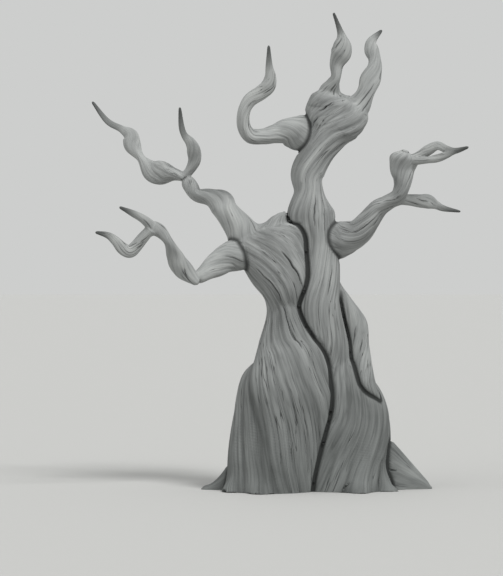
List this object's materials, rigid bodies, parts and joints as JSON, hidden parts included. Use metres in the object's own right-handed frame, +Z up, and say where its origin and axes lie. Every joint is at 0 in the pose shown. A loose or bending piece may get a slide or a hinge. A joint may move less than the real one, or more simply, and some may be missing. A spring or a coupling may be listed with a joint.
{
  "type": "dead tree",
  "caption": "Bare, dead, rooted tree: grey stems grown together on a flared foot, with twisted boughs that swell, pinch and end in curling points.",
  "frame": {"origin": "on the flat cut at ground level, under the main (right) stem and near the middle of the whole foot", "axes": "+Z up; +X to the right as the picture sees the tree; +Y from the side that the picture shows to its back"},
  "size_m": [4.7134, 2.7822, 5.9355],
  "materials": {
    "stem_wood": "barkless, weathered grey, with deep seams and drying cracks",
    "bough_wood": "barkless, sun-bleached silver grey, smoother than the stems"
  },
  "bodies": {
    "root": {"right_stem": "stem_wood", "left_stem": "stem_wood", "side_strand": "stem_wood", "upper_left_bough": "bough_wood", "upper_left_limb": "bough_wood", "upper_left_twig": "bough_wood", "lower_left_bough": "bough_wood", "lower_left_limb": "bough_wood", "lower_left_high_twig": "bough_wood", "lower_left_low_twig": "bough_wood", "hook_bough": "bough_wood", "hook_limb": "bough_wood", "crown_left_prong": "bough_wood", "crown_right_prong": "bough_wood", "right_bough": "bough_wood", "right_riser": "bough_wood", "right_high_twigs": "bough_wood", "right_low_twig": "bough_wood", "back_bough": "bough_wood", "back_low_limb": "bough_wood", "back_high_limb": "bough_wood"}
  },
  "joints": []
}
